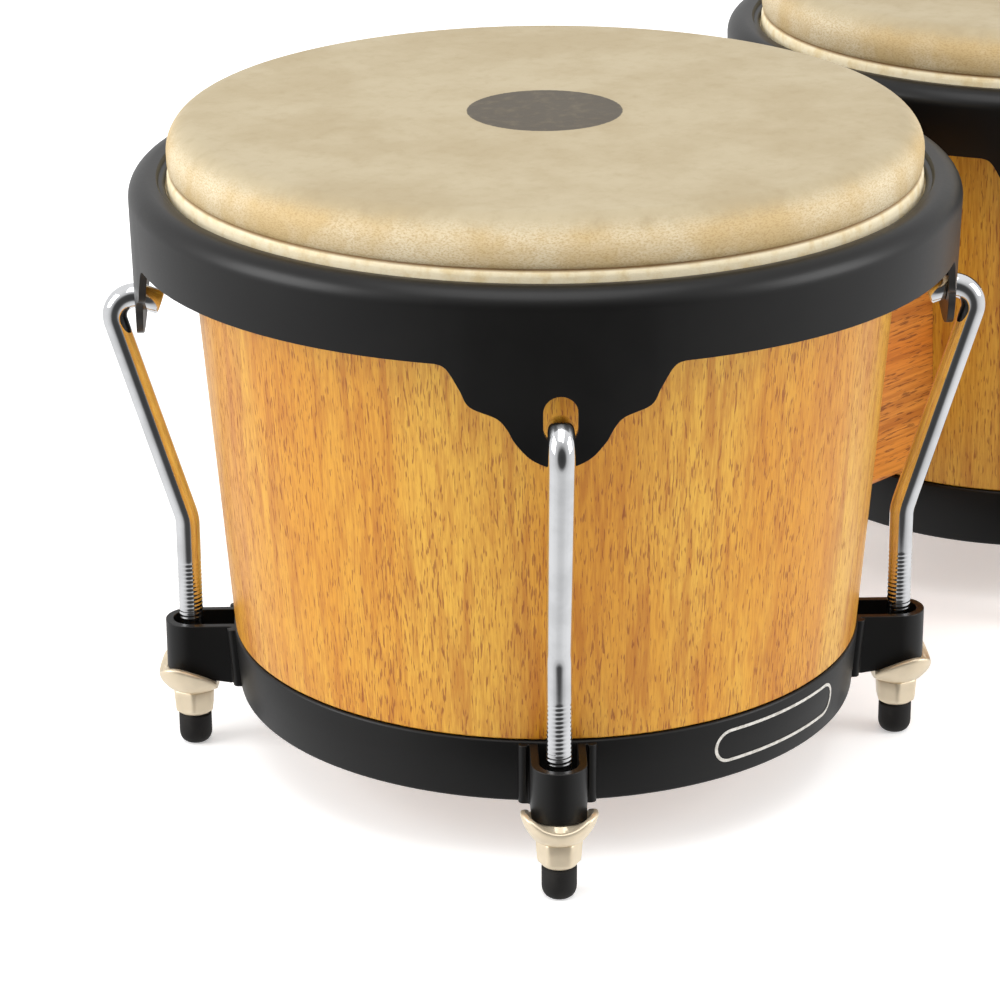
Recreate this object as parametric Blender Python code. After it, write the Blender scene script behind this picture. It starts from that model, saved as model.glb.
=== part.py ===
"""A pair of wooden bongo drums, joined by a wooden block.

The large drum stands at -X and the small one at +X. Each has a tapered shell with an open bottom, a
rawhide head whose rolled edge holds a steel flesh hoop, and a steel rim over it with four lug plates.
Four hooked rods pull the rim down. Each rod passes a bracket of the bottom ring and a dish washer, and
a nut with a rubber foot holds it.
The origin is on the standing surface, under the middle of the pair. Units are metres, +Z is up.
"""

import math

import bmesh
import bpy
from mathutils import Matrix, Vector

MM = 0.001
INCH = 25.4 * MM

# Clearances
TOUCH = 0.3 * MM  # between two pieces that rest on each other
SLIDE = 0.3 * MM  # round a rod in a hole

# Overall sizes
LARGE_HEAD_R = 105.0 * MM  # outside of the skin's side, on a nominal 8 inch head
NOMINAL_STEP = 1.25 * INCH  # from the large nominal head to the small one, across
SHELL_H = 164.4 * MM
LARGE_TAPER = 16.0 * MM  # from the head's radius to the shell's radius at its foot
SMALL_TAPER = 13.5 * MM
SHELL_WALL = 9.0 * MM
RIM_SPACE = 17.1 * MM  # between the two rims

# Heights above the standing surface
RING_Z = 21.0 * MM  # lower edge of the bottom rings

# Bottom ring, an L in section, with its lip under the shell
RING_H = 18.5 * MM
RING_T = 2.0 * MM
RING_PROUD = 0.5 * MM  # how far it stands out from the wood
RING_LIP = 4.0 * MM
RING_EDGE = 0.5 * MM  # chamfer of its outer edges

# Head: rawhide, stretched over the shell's edge and rolled round the flesh hoop
SKIN_T = 1.8 * MM
SKIN_SIDE_T = 2.4 * MM
SKIN_LIFT_GAP = 1.0 * MM  # between the skin's side and the shell, so that the head lifts off
EDGE_ROUND = 8.5 * MM  # rounding of the skin over the bearing edge
SKIN_FOLD_DROP = 13.5 * MM  # from the head's face to the crease above the roll
HOOP_WIRE_R = 2.7 * MM
ROLL_START = 3.6 * MM  # from the middle of the wire up to where the skin turns out into the roll
ROLL_T = 1.2 * MM
ROLL_DROP = 23.4 * MM  # from the head's face to the middle of the hoop's wire
ROLL_OUT = 2.2 * MM  # from the skin's side out to the middle of the wire

# Rim: a rolled steel band, with its top turned in over the skin's roll
RIM_LEDGE = 10.9 * MM  # from the skin's side to the band's outside
RIM_T = 2.0 * MM
RIM_DROP = 15.4 * MM  # from the head's face to the highest point of the rim
BAND_H = 20.3 * MM
RIM_CURL = 5.6 * MM
RIM_GAP = 0.6 * MM  # between the turned-in edge and the skin's side
RIM_LIP_DROP = 1.5 * MM  # the turned-in edge is this much lower than the rim's highest point
RIM_TAPER = 0.8 * MM  # the band is this much narrower at its lower edge

# Lug plate: a scalloped tongue of the rim band, as (half width, drop below the band)
PLATE_OUTLINE = (
    (32.5, 0.0),
    (29.4, 1.3),
    (26.0, 6.6),
    (23.4, 11.0),
    (16.6, 13.7),
    (13.8, 16.6),
    (11.6, 20.4),
    (7.0, 25.0),
    (0.0, 27.2),
)
SLOT_W = 8.9 * MM
SLOT_H = 13.2 * MM

# Tuning rod
ROD_R = 3.5 * MM
ROD_INSET = 12.7 * MM  # from the rim's outside in to the straight part of the rod
ROD_LEAN = math.radians(16.7)  # of the upper part, outwards
ROD_BEND_R = 14.0 * MM
HOOK_R = 6.0 * MM
HOOK_IN = 0.5 * MM  # from the rim's outside in to the middle of the hook's bend
HOOK_DROP = 36.8 * MM  # from the rim's highest point down to the rod's middle where it crosses the plate
HOOK_TIP = 5.4 * MM
HOOK_TIP_SLOPE = math.radians(20.0)
ROD_PAST_NUT = 5.0 * MM

# Bracket: a strap round the rod, open at the top, welded to the bottom ring
BRACKET_WALL = 2.2 * MM
BRACKET_R = 7.5 * MM
BRACKET_TOP_DROP = 0.5 * MM  # below the ring's upper edge
BRACKET_SLOPE = math.tan(math.radians(9.0))  # its lower edge rises outwards
BRACKET_FOOT_Z = 2.0 * MM  # of its lower edge at the rod, above the ring's lower edge
BRACKET_PAD_W = 21.2 * MM
BRACKET_PAD_T = 1.7 * MM
BRACKET_PAD_ROUND = 0.6 * MM
WELD_IN = 1.0 * MM

# Dish washer, a saddle-shaped cup. Half of its outlines in plan, as (out, sideways) from the rod's axis, and for the
# rim also the height above the tray that the strap sits on
DISH_TRAY = (
    (7.8, 0.0),
    (7.2, 3.0),
    (5.5, 5.5),
    (3.0, 7.2),
    (0.0, 7.8),
    (-3.0, 7.8),
    (-5.4, 7.8),
    (-6.3, 7.8),
    (-6.3, 0.0),
)
DISH_RIM = (
    (10.0, 0.0, -1.5),
    (9.6, 4.4, -0.5),
    (8.2, 8.0, 1.8),
    (5.0, 10.1, 3.0),
    (1.4, 10.5, 2.8),
    (-2.6, 10.3, 2.0),
    (-6.0, 9.4, 0.9),
    (-7.2, 8.8, 0.0),
    (-7.2, 0.0, 0.0),
)
DISH_RIM_T = 1.3 * MM  # depth of the rim's edge
DISH_LIP = 0.86  # inner edge of the rim's top, as a share of the rim
DISH_BASE_R = 7.2 * MM
DISH_H = 5.1 * MM  # from the tray at the rod down to the base

# Tuning nut
NUT_FLATS = 11.5 * MM
NUT_LOW_FLATS = 10.8 * MM  # across the flats at the lower end of the hexagon
NUT_H = 7.8 * MM
NUT_HEX_H = 6.3 * MM
NUT_END_R = 4.9 * MM
NUT_EDGE = 0.5 * MM  # chamfer of its upper corners

# Rubber foot
FOOT_R = 4.8 * MM
FOOT_FLAT_R = 2.6 * MM
FOOT_ROUND = 3.2 * MM
FOOT_MID_R = 4.2 * MM  # part of the way up the rounding
FOOT_MID_Z = 0.8 * MM
FOOT_FLOOR = 3.6 * MM

# Centre block, and the bolts that hold it from inside the shells
BLOCK_W = 40.0 * MM
BLOCK_LOW = 26.3 * MM  # above the ring's lower edge
BLOCK_TOP_GAP = 14.8 * MM  # from its upper face to the rims' bands
BLOCK_EDGE = 2.0 * MM
BOLT_INSET = 24.0 * MM  # from the block's upper and lower faces
BOLT_R = 3.0 * MM
BOLT_DEPTH = 22.0 * MM  # into the block
BOLT_HEAD_FLATS = 10.0 * MM
BOLT_HEAD_H = 4.0 * MM
BOLT_WASHER_R = 9.0 * MM
BOLT_WASHER_T = 1.6 * MM

# Facets
TURNED_STEPS = 40
SMALL_STEPS = 12
DISH_STEPS = 2 * (len(DISH_RIM) - 1)

LUG_AZIMUTHS = (45.0, 135.0, 225.0, 315.0)

# Derived sizes
HOOK_OUT = ROD_INSET - HOOK_IN  # from the straight part's axis to the middle of the hook's bend
SHELL_Z = RING_Z + RING_T + TOUCH
SHELL_TOP_Z = SHELL_Z + SHELL_H
HEAD_Z = SHELL_TOP_Z + TOUCH + SKIN_T
RIM_TOP_Z = HEAD_Z - RIM_DROP
BAND_Z = RIM_TOP_Z - BAND_H
ROLL_Z = HEAD_Z - ROLL_DROP
HOOK_Z = RIM_TOP_Z - HOOK_DROP
DISH_Z = RING_Z + BRACKET_FOOT_Z - TOUCH - DISH_H
NUT_TOP_Z = DISH_Z - TOUCH
NUT_Z = NUT_TOP_Z - NUT_H
ROD_END_Z = NUT_Z - ROD_PAST_NUT
BLOCK_Z = RING_Z + BLOCK_LOW
BLOCK_H = BAND_Z - BLOCK_TOP_GAP - BLOCK_Z
BOLT_Z = {"lower": BLOCK_Z + BOLT_INSET, "upper": BLOCK_Z + BLOCK_H - BOLT_INSET}


class Drum:
    """The radii of one drum, whose axis is at x. Every height is shared by both."""

    def __init__(self, name, head_r, taper):
        self.name = name
        self.x = 0.0
        self.head_r = head_r
        self.rim_r = head_r + RIM_LEDGE
        self.rod_r = self.rim_r - ROD_INSET
        self.shell_foot_r = head_r - taper
        self.shell_top_r = head_r - SKIN_SIDE_T - SKIN_LIFT_GAP
        self.slope = (self.shell_top_r - self.shell_foot_r) / SHELL_H

    def shell_r(self, z):
        """Outside radius of the wood at a height."""
        return self.shell_foot_r + self.slope * (z - SHELL_Z)

    def ring_r(self, z):
        """Outside radius of the bottom ring at a height."""
        return self.shell_r(z) + RING_PROUD


LARGE = Drum("large", LARGE_HEAD_R, LARGE_TAPER)
SMALL = Drum("small", LARGE_HEAD_R - NOMINAL_STEP / 2, SMALL_TAPER)
PAIR_LENGTH = 2 * LARGE.rim_r + RIM_SPACE + 2 * SMALL.rim_r
LARGE.x = LARGE.rim_r - PAIR_LENGTH / 2
SMALL.x = PAIR_LENGTH / 2 - SMALL.rim_r


def clear_scene():
    for obj in list(bpy.data.objects):
        bpy.data.objects.remove(obj, do_unlink=True)


def material(name, color, roughness, metallic):
    mat = bpy.data.materials.new(name)
    mat.use_nodes = True
    shader = mat.node_tree.nodes["Principled BSDF"]
    shader.inputs["Base Color"].default_value = (*color, 1.0)
    shader.inputs["Roughness"].default_value = roughness
    shader.inputs["Metallic"].default_value = metallic
    return mat


def circle(radius, z, steps, phase=0.0):
    """Points round the vertical axis. The first is at +X, or a share of a step past it."""
    turns = (2 * math.pi * (i + phase) / steps for i in range(steps))
    return [Vector((radius * math.cos(t), radius * math.sin(t), z)) for t in turns]


def hexagon(flats, z, steps):
    """Points round a hexagon that is as wide as given across its flats. One flat faces +X."""
    points = []
    for i in range(steps):
        turn = 2 * math.pi * i / steps
        off_flat = (turn + math.pi / 6) % (math.pi / 3) - math.pi / 6
        radius = flats / 2 / math.cos(off_flat)
        points.append(Vector((radius * math.cos(turn), radius * math.sin(turn), z)))
    return points


def turned(profile, steps=TURNED_STEPS):
    return [circle(radius, z, steps) for radius, z in profile]


def arc(center, radius, start, end, steps):
    """Points (r, z) on an arc, from one angle to the other in degrees."""
    angles = (math.radians(start + (end - start) * i / steps) for i in range(steps + 1))
    return [(center[0] + radius * math.cos(a), center[1] + radius * math.sin(a)) for a in angles]


def add_object(name, bm, mat, sharp_angle=32.0):
    bmesh.ops.recalc_face_normals(bm, faces=bm.faces)
    mesh = bpy.data.meshes.new(name)
    bm.to_mesh(mesh)
    bm.free()
    mesh.shade_smooth()
    mesh.set_sharp_from_angle(angle=math.radians(sharp_angle))
    if mat:
        mesh.materials.append(mat)
    obj = bpy.data.objects.new(name, mesh)
    bpy.context.scene.collection.objects.link(obj)
    return obj


def loft(name, rings, mat, capped=False):
    """Skins rings of equal length. Uncapped, the last ring joins the first, as round a hole."""
    bm = bmesh.new()
    loops = [[bm.verts.new(point) for point in ring] for ring in rings]
    pairs = list(zip(loops, loops[1:]))
    if not capped:
        pairs.append((loops[-1], loops[0]))
    for lower, upper in pairs:
        for i in range(len(lower)):
            j = (i + 1) % len(lower)
            bm.faces.new((lower[i], lower[j], upper[j], upper[i]))
    if capped:
        bm.faces.new(loops[0])
        bm.faces.new(loops[-1])
    return add_object(name, bm, mat)


def as_tool(obj):
    """Marks a helper that only a Boolean uses."""
    obj.hide_render = True
    obj.display_type = "WIRE"
    return obj


def boolean(obj, tool, operation):
    step = obj.modifiers.new(tool.name, "BOOLEAN")
    step.object = as_tool(tool)
    step.operation = operation
    step.solver = "EXACT"


def place(obj, x, azimuth=0.0, parent=None):
    """Puts an object on a drum's axis, turned to a lug's azimuth."""
    obj.location = (x, 0.0, 0.0)
    obj.rotation_euler = (0.0, 0.0, math.radians(azimuth))
    if parent:
        obj.parent = parent
    return obj


def empty(name, location):
    obj = bpy.data.objects.new(name, None)
    obj.location = location
    obj.empty_display_size = 20 * MM
    bpy.context.scene.collection.objects.link(obj)
    return obj


def bolt_seat_x(drum, z):
    """How far from the drum's axis a flat washer can go, against the curved inside of the shell."""
    flat_of_facet = math.cos(math.pi / TURNED_STEPS)
    reach = []
    for i in range(SMALL_STEPS):
        turn = 2 * math.pi * i / SMALL_STEPS
        side = BOLT_WASHER_R * math.cos(turn)
        wall_r = (drum.shell_r(z + BOLT_WASHER_R * math.sin(turn)) - SHELL_WALL) * flat_of_facet
        reach.append(math.sqrt(wall_r**2 - side**2))
    return min(reach) - TOUCH


def bolt_hole(name, x, z, length):
    """A rod along X for cutting a bolt's hole, centred on the given point."""
    rings = [circle(BOLT_R + SLIDE, end * length / 2, SMALL_STEPS, phase=0.5) for end in (-1, 1)]
    tool = loft(name, rings, None, capped=True)
    tool.rotation_euler = (0.0, math.pi / 2, 0.0)
    tool.location = (x, 0.0, z)
    return tool


def make_shell(drum, toward_block, mat):
    """Tapered wooden shell: a rebate at its foot takes the bottom ring, and its top edge is rounded."""
    rebate_top = RING_Z + RING_H + TOUCH
    rebate = RING_T - RING_PROUD + TOUCH
    top = drum.shell_top_r
    edge = EDGE_ROUND - SKIN_SIDE_T
    profile = [
        (drum.shell_r(SHELL_Z) - rebate, SHELL_Z),
        (drum.shell_r(rebate_top) - rebate, rebate_top),
        (drum.shell_r(rebate_top), rebate_top),
        (drum.shell_r(SHELL_TOP_Z - edge), SHELL_TOP_Z - edge),
        *arc((top - edge, SHELL_TOP_Z - edge), edge, 30.0, 90.0, 2),
        (top - SHELL_WALL, SHELL_TOP_Z),
        (drum.shell_r(SHELL_Z) - SHELL_WALL, SHELL_Z),
    ]
    shell = place(loft(f"{drum.name}_shell", turned(profile), mat), drum.x)
    for height, z in BOLT_Z.items():
        x = drum.x + toward_block * (drum.shell_r(z) - SHELL_WALL / 2)
        boolean(shell, bolt_hole(f"{drum.name}_{height}_bolt_hole", x, z, SHELL_WALL * 3), "DIFFERENCE")


def make_skin(drum, mat, parent):
    """Rawhide head: a flat face, a rounded edge, a side, and a roll that is open towards the shell."""
    side = drum.head_r
    inner = side - SKIN_SIDE_T
    under = HEAD_Z - SKIN_T
    bend = (side - EDGE_ROUND, HEAD_Z - EDGE_ROUND)
    roll = (side + ROLL_OUT, ROLL_Z)
    outer_roll = HOOP_WIRE_R + TOUCH + ROLL_T
    fold_z = HEAD_Z - SKIN_FOLD_DROP
    inner_bend = EDGE_ROUND - SKIN_SIDE_T
    profile = [
        *reversed(arc(bend, EDGE_ROUND, 0.0, 90.0, 2)),
        (side, fold_z),
        (side, ROLL_Z + ROLL_START),
        *arc(roll, outer_roll, 90.0, -110.0, 4),
        *arc(roll, HOOP_WIRE_R + TOUCH, -110.0, 120.0, 4),
        (inner, ROLL_Z + HOOP_WIRE_R),
        *arc((inner - inner_bend, under - inner_bend), inner_bend, 0.0, 90.0, 2),
    ]
    return place(loft(f"{drum.name}_head_skin", turned(profile), mat, capped=True), drum.x, parent=parent)


def make_hoop(drum, mat, parent):
    """Round steel wire inside the skin's roll."""
    profile = arc((drum.head_r + ROLL_OUT, ROLL_Z), HOOP_WIRE_R, 0.0, 360.0, 6)[:-1]
    return place(loft(f"{drum.name}_flesh_hoop", turned(profile), mat), drum.x, parent=parent)


def plate_drop(across):
    """How far the rim's lower edge hangs down at this distance from a lug plate's middle."""
    outline = [(half * MM, drop * MM) for half, drop in PLATE_OUTLINE]
    for (wide, high), (narrow, low) in zip(outline, outline[1:]):
        if narrow <= across <= wide:
            return high + (low - high) * (wide - across) / (wide - narrow)
    return 0.0


def rim_stations(drum):
    """(angle, drop of the lower edge) round the rim, with one at each corner of the plates' outline."""
    corners = [half * MM / drum.rim_r for half, _ in PLATE_OUTLINE]
    quarter = sorted({*corners, *(-c for c in corners)})
    gap = math.pi / 2 - 2 * corners[0]
    plain = 2 * round(gap * TURNED_STEPS / (4 * math.pi)) + 1  # odd, so that one lies midway, on a row axis
    stations = []
    for azimuth in LUG_AZIMUTHS:
        middle = math.radians(azimuth)
        stations += [(middle + c, plate_drop(abs(c) * drum.rim_r)) for c in quarter]
        stations += [(middle + corners[0] + gap * i / (plain + 1), 0.0) for i in range(1, plain + 1)]
    return stations


def make_rim(drum, mat, parent):
    """Steel rim: a band with its top rolled in over the skin, and four lug plates at its lower edge."""
    out = drum.rim_r
    low_out = out - RIM_TAPER
    curl = (out - RIM_CURL, RIM_TOP_Z - RIM_CURL)
    lip_r = drum.head_r + RIM_GAP
    lip_z = RIM_TOP_Z - RIM_LIP_DROP
    profile = [
        (low_out, None),
        (out, curl[1]),
        *arc(curl, RIM_CURL, 35.0, 90.0, 2),
        (lip_r, lip_z),
        (lip_r, lip_z - RIM_T),
        *reversed(arc(curl, RIM_CURL - RIM_T, 45.0, 90.0, 1)),
        (low_out - RIM_T, None),
    ]
    stations = rim_stations(drum)
    rings = []
    for radius, z in profile:
        heights = [BAND_Z - drop if z is None else z for _, drop in stations]
        rings.append([
            Vector((radius * math.cos(turn), radius * math.sin(turn), height))
            for (turn, _), height in zip(stations, heights)
        ])
    rim = place(loft(f"{drum.name}_rim", rings, mat), drum.x, parent=parent)
    for index, azimuth in enumerate(LUG_AZIMUTHS, 1):
        boolean(rim, slot_tool(drum, index, azimuth), "DIFFERENCE")
    return rim


def slot_tool(drum, index, azimuth):
    """An upright slot through a lug plate. The hook rests on its lower end."""
    radius = SLOT_W / 2
    beside = RIM_TAPER + RIM_T - HOOK_IN  # from the middle of the hook's bend in to the plate's inner face
    sag = HOOK_R - math.sqrt(HOOK_R**2 - beside**2)  # the bend is this much lower there
    low = HOOK_Z - sag - ROD_R - TOUCH + radius
    high = low + SLOT_H - SLOT_W
    outline = arc((0.0, low), radius, 180.0, 360.0, 6) + arc((0.0, high), radius, 0.0, 180.0, 6)
    ends = (drum.rim_r - 3 * RIM_T, drum.rim_r + RIM_T)
    rings = [[Vector((x, side, z)) for side, z in outline] for x in ends]
    return place(loft(f"{drum.name}_slot_{index}", rings, None, capped=True), drum.x, azimuth)


def bracket_outline(start, rod):
    """Plan of the strap, as (distance out from the ring's face, sideways): pads, legs, a round end."""
    inner = BRACKET_R - BRACKET_WALL
    half_pad = BRACKET_PAD_W / 2
    half = [
        (start, half_pad),
        (BRACKET_PAD_T - BRACKET_PAD_ROUND, half_pad),
        (BRACKET_PAD_T, half_pad - BRACKET_PAD_ROUND),
        (BRACKET_PAD_T, BRACKET_R + BRACKET_PAD_ROUND),
        (BRACKET_PAD_T + BRACKET_PAD_ROUND, BRACKET_R),
    ]
    outside = arc((rod, 0.0), BRACKET_R, 90.0, -90.0, 6)
    inside = arc((rod, 0.0), inner, -90.0, 90.0, 4)
    return [
        *half,
        *outside,
        *((x, -y) for x, y in reversed(half)),
        (start, -inner),
        *inside,
        (start, inner),
    ]


def make_bracket(drum, index, azimuth):
    """Strap round one rod. Its ends follow the ring's lean, and its lower edge rises outwards."""
    top = RING_Z + RING_H - BRACKET_TOP_DROP
    rings = []
    for level in ("low", "high"):
        ring = []
        for out, side in bracket_outline(-WELD_IN, drum.rod_r - drum.ring_r(RING_Z)):
            x = drum.ring_r(RING_Z) + out
            slanted = RING_Z + BRACKET_FOOT_Z + BRACKET_SLOPE * (x - drum.rod_r)
            z = top if level == "high" else max(slanted, RING_Z + TOUCH)
            if out <= BRACKET_PAD_T:
                x += drum.slope * (z - RING_Z)
            ring.append(Vector((x, side, z)))
        rings.append(ring)
    return place(loft(f"{drum.name}_bracket_{index}", rings, None, capped=True), drum.x, azimuth)


def make_ring(drum, mat):
    """Bottom ring: an L-section steel hoop round the shell's foot, with a bracket at each rod."""
    top = RING_Z + RING_H
    low = drum.ring_r(RING_Z)
    high = drum.ring_r(top)
    profile = [
        (low - RING_LIP - RING_T, RING_Z),
        (low - RING_EDGE, RING_Z),
        (low, RING_Z + RING_EDGE),
        (high, top - RING_EDGE),
        (high - RING_EDGE, top),
        (high - RING_T, top),
        (low - RING_T, RING_Z + RING_T),
        (low - RING_LIP - RING_T, RING_Z + RING_T),
    ]
    ring = place(loft(f"{drum.name}_bottom_ring", turned(profile), mat), drum.x)
    for index, azimuth in enumerate(LUG_AZIMUTHS, 1):
        boolean(ring, make_bracket(drum, index, azimuth), "UNION")


def rod_path():
    """The rod's centre line as (distance out from its straight part, height), from its lower end up."""
    lean = math.degrees(ROD_LEAN)
    hook = (HOOK_OUT, HOOK_Z - HOOK_R)
    leave = (hook[0] + HOOK_R * math.cos(ROD_LEAN), hook[1] - HOOK_R * math.sin(ROD_LEAN))
    corner_z = leave[1] - leave[0] / math.tan(ROD_LEAN)
    back = ROD_BEND_R * math.tan(ROD_LEAN / 2)
    bend = arc((ROD_BEND_R, corner_z - back), ROD_BEND_R, 180.0, 180.0 - lean, 2)
    tip_turn = 90.0 + math.degrees(HOOK_TIP_SLOPE)
    curl = arc(hook, HOOK_R, -lean, tip_turn, 6)
    tip_out = curl[-1][0] - HOOK_TIP * math.cos(HOOK_TIP_SLOPE)
    tip = (tip_out, curl[-1][1] - HOOK_TIP * math.sin(HOOK_TIP_SLOPE))
    return [(0.0, ROD_END_Z), *bend, *curl, tip]


def make_rod(drum, index, azimuth, mat, parent):
    """Hooked steel rod, swept along its centre line."""
    name = f"{drum.name}_tuning_rod_{index}"
    path = bpy.data.curves.new(name, "CURVE")
    path.dimensions = "3D"
    path.bevel_depth = ROD_R
    path.bevel_resolution = 2
    path.use_fill_caps = True
    spline = path.splines.new("POLY")
    route = rod_path()
    spline.points.add(len(route) - 1)
    for point, (out, z) in zip(spline.points, route):
        point.co = (drum.rod_r + out, 0.0, z, 1.0)
    path.materials.append(mat)
    rod = bpy.data.objects.new(name, path)
    bpy.context.scene.collection.objects.link(rod)
    return place(rod, drum.x, azimuth, parent)


def mirrored(half):
    """A closed plan outline from its half, which runs from the front round to the back."""
    points = [(point[0] * MM, point[1] * MM) for point in half]
    return points + [(x, -y) for x, y in reversed(points[1:-1])]


def make_dish(drum, index, azimuth, mat):
    """Dish washer: a cup under the strap, high at the strap's sides and low in front, on a round base."""
    hole = ROD_R + SLIDE
    lifts = [lift * MM for _, _, lift in DISH_RIM]
    lifts += reversed(lifts[1:-1])
    rim = mirrored(DISH_RIM)

    def tray(x):
        return RING_Z + BRACKET_FOOT_Z - TOUCH + BRACKET_SLOPE * x

    def on_tray(outline):
        return [Vector((x, y, tray(x))) for x, y in outline]

    def on_rim(share, below):
        return [Vector((x * share, y * share, tray(x) + lift - below)) for (x, y), lift in zip(rim, lifts)]

    rings = [
        on_tray((p.x, p.y) for p in circle(hole, 0.0, DISH_STEPS)),
        on_tray(mirrored(DISH_TRAY)),
        on_rim(DISH_LIP + (1 - DISH_LIP) / 2, 0.0),
        on_rim(1.0, DISH_RIM_T / 2),
        on_rim(1.0 - (1 - DISH_LIP) / 4, DISH_RIM_T),
        circle(DISH_BASE_R, DISH_Z, DISH_STEPS),
        circle(hole, DISH_Z, DISH_STEPS),
    ]
    for ring in rings:
        for point in ring:
            point.x += drum.rod_r
    place(loft(f"{drum.name}_dish_washer_{index}", rings, mat), drum.x, azimuth)


def make_nut(drum, index, joint, mat):
    """Tuning nut: a hexagon that narrows slightly downwards, with a rounded end, bored for the rod."""
    bore = ROD_R + SLIDE
    rings = [
        circle(bore, NUT_TOP_Z, SMALL_STEPS),
        circle(NUT_FLATS / 2 - NUT_EDGE, NUT_TOP_Z, SMALL_STEPS),
        hexagon(NUT_FLATS, NUT_TOP_Z - NUT_EDGE, SMALL_STEPS),
        hexagon(NUT_LOW_FLATS, NUT_TOP_Z - NUT_HEX_H, SMALL_STEPS),
        circle(NUT_END_R, NUT_Z, SMALL_STEPS),
        circle(bore, NUT_Z, SMALL_STEPS),
    ]
    nut = loft(f"{drum.name}_tuning_nut_{index}", rings, mat)
    nut.parent = joint


def make_foot(drum, index, joint, mat):
    """Rubber foot under the nut. The rod's end stands free inside it."""
    bore = ROD_R + SLIDE
    top = NUT_Z - TOUCH
    profile = [
        (bore, FOOT_FLOOR),
        (bore, top),
        (FOOT_R, top),
        (FOOT_R, FOOT_ROUND),
        (FOOT_MID_R, FOOT_MID_Z),
        (FOOT_FLAT_R, 0.0),
    ]
    foot = loft(f"{drum.name}_rubber_foot_{index}", turned(profile, SMALL_STEPS), mat, capped=True)
    foot.parent = joint


def make_block(mat):
    """Wooden block between the shells, its ends hollowed to their cones. Bolts enter it from both sides."""
    start = LARGE.x + LARGE.shell_foot_r - SHELL_WALL
    end = SMALL.x - SMALL.shell_foot_r + SHELL_WALL
    bm = bmesh.new()
    bmesh.ops.create_cube(bm, size=1.0)
    size = Matrix.Diagonal((end - start, BLOCK_W, BLOCK_H, 1.0))
    middle = Matrix.Translation(((start + end) / 2, 0.0, BLOCK_Z + BLOCK_H / 2))
    bmesh.ops.transform(bm, matrix=middle @ size, verts=bm.verts)
    long_edges = [e for e in bm.edges if abs(e.verts[0].co.x - e.verts[1].co.x) > BLOCK_W]
    bmesh.ops.bevel(bm, geom=long_edges, offset=BLOCK_EDGE, segments=2, profile=0.5, affect="EDGES")
    block = add_object("centre_block", bm, mat)
    for drum, toward in ((LARGE, 1), (SMALL, -1)):
        low = BLOCK_Z - BLOCK_EDGE
        high = BLOCK_Z + BLOCK_H + BLOCK_EDGE
        profile = [(drum.shell_r(z) + TOUCH, z) for z in (low, high)]
        hollow = place(loft(f"{drum.name}_hollow", turned(profile), None, capped=True), drum.x)
        boolean(block, hollow, "DIFFERENCE")
        for height, z in BOLT_Z.items():
            reach = drum.shell_r(z) + BOLT_DEPTH + TOUCH
            hole = bolt_hole(f"{drum.name}_{height}_block_hole", drum.x + toward * reach / 2, z, reach)
            boolean(block, hole, "DIFFERENCE")


def make_block_bolt(drum, toward, height, mat):
    """Hex bolt and washer. They lie along X, with the head inside the shell."""
    z = BOLT_Z[height]
    seat = bolt_seat_x(drum, z)
    tip = drum.shell_r(z) + BOLT_DEPTH
    under_head = seat - BOLT_WASHER_T - TOUCH
    hole = BOLT_R + SLIDE
    washer_profile = [
        (hole, seat - BOLT_WASHER_T),
        (BOLT_WASHER_R, seat - BOLT_WASHER_T),
        (BOLT_WASHER_R, seat),
        (hole, seat),
    ]
    bolt_rings = [
        hexagon(BOLT_HEAD_FLATS, under_head - BOLT_HEAD_H, SMALL_STEPS),
        hexagon(BOLT_HEAD_FLATS, under_head, SMALL_STEPS),
        circle(BOLT_R, under_head, SMALL_STEPS),
        circle(BOLT_R, tip, SMALL_STEPS),
    ]
    washer = loft(f"{drum.name}_block_washer_{height}", turned(washer_profile, SMALL_STEPS), mat)
    bolt = loft(f"{drum.name}_block_bolt_{height}", bolt_rings, mat, capped=True)
    for obj in (washer, bolt):
        obj.rotation_euler = (0.0, math.pi / 2 * toward, 0.0)
        obj.location = (drum.x, 0.0, z)


def make_drum(drum, toward_block, mats):
    make_shell(drum, toward_block, mats["shell_wood"])
    make_ring(drum, mats["black_steel"])
    lift = empty(f"{drum.name}_head_lift", (drum.x, 0.0, 0.0))
    head = [
        make_skin(drum, mats["rawhide"], lift),
        make_hoop(drum, mats["hoop_steel"], lift),
        make_rim(drum, mats["black_steel"], lift),
    ]
    for index, azimuth in enumerate(LUG_AZIMUTHS, 1):
        head.append(make_rod(drum, index, azimuth, mats["chrome"], lift))
        make_dish(drum, index, azimuth, mats["nickel"])
        turn = math.radians(azimuth)
        axis = (drum.x + drum.rod_r * math.cos(turn), drum.rod_r * math.sin(turn), 0.0)
        joint = empty(f"{drum.name}_nut_axis_{index}", axis)
        joint.rotation_euler = (0.0, 0.0, turn)
        make_nut(drum, index, joint, mats["nickel"])
        make_foot(drum, index, joint, mats["rubber"])
    for obj in head:
        obj.location.x = 0.0
    for height in BOLT_Z:
        make_block_bolt(drum, toward_block, height, mats["zinc_steel"])


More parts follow.
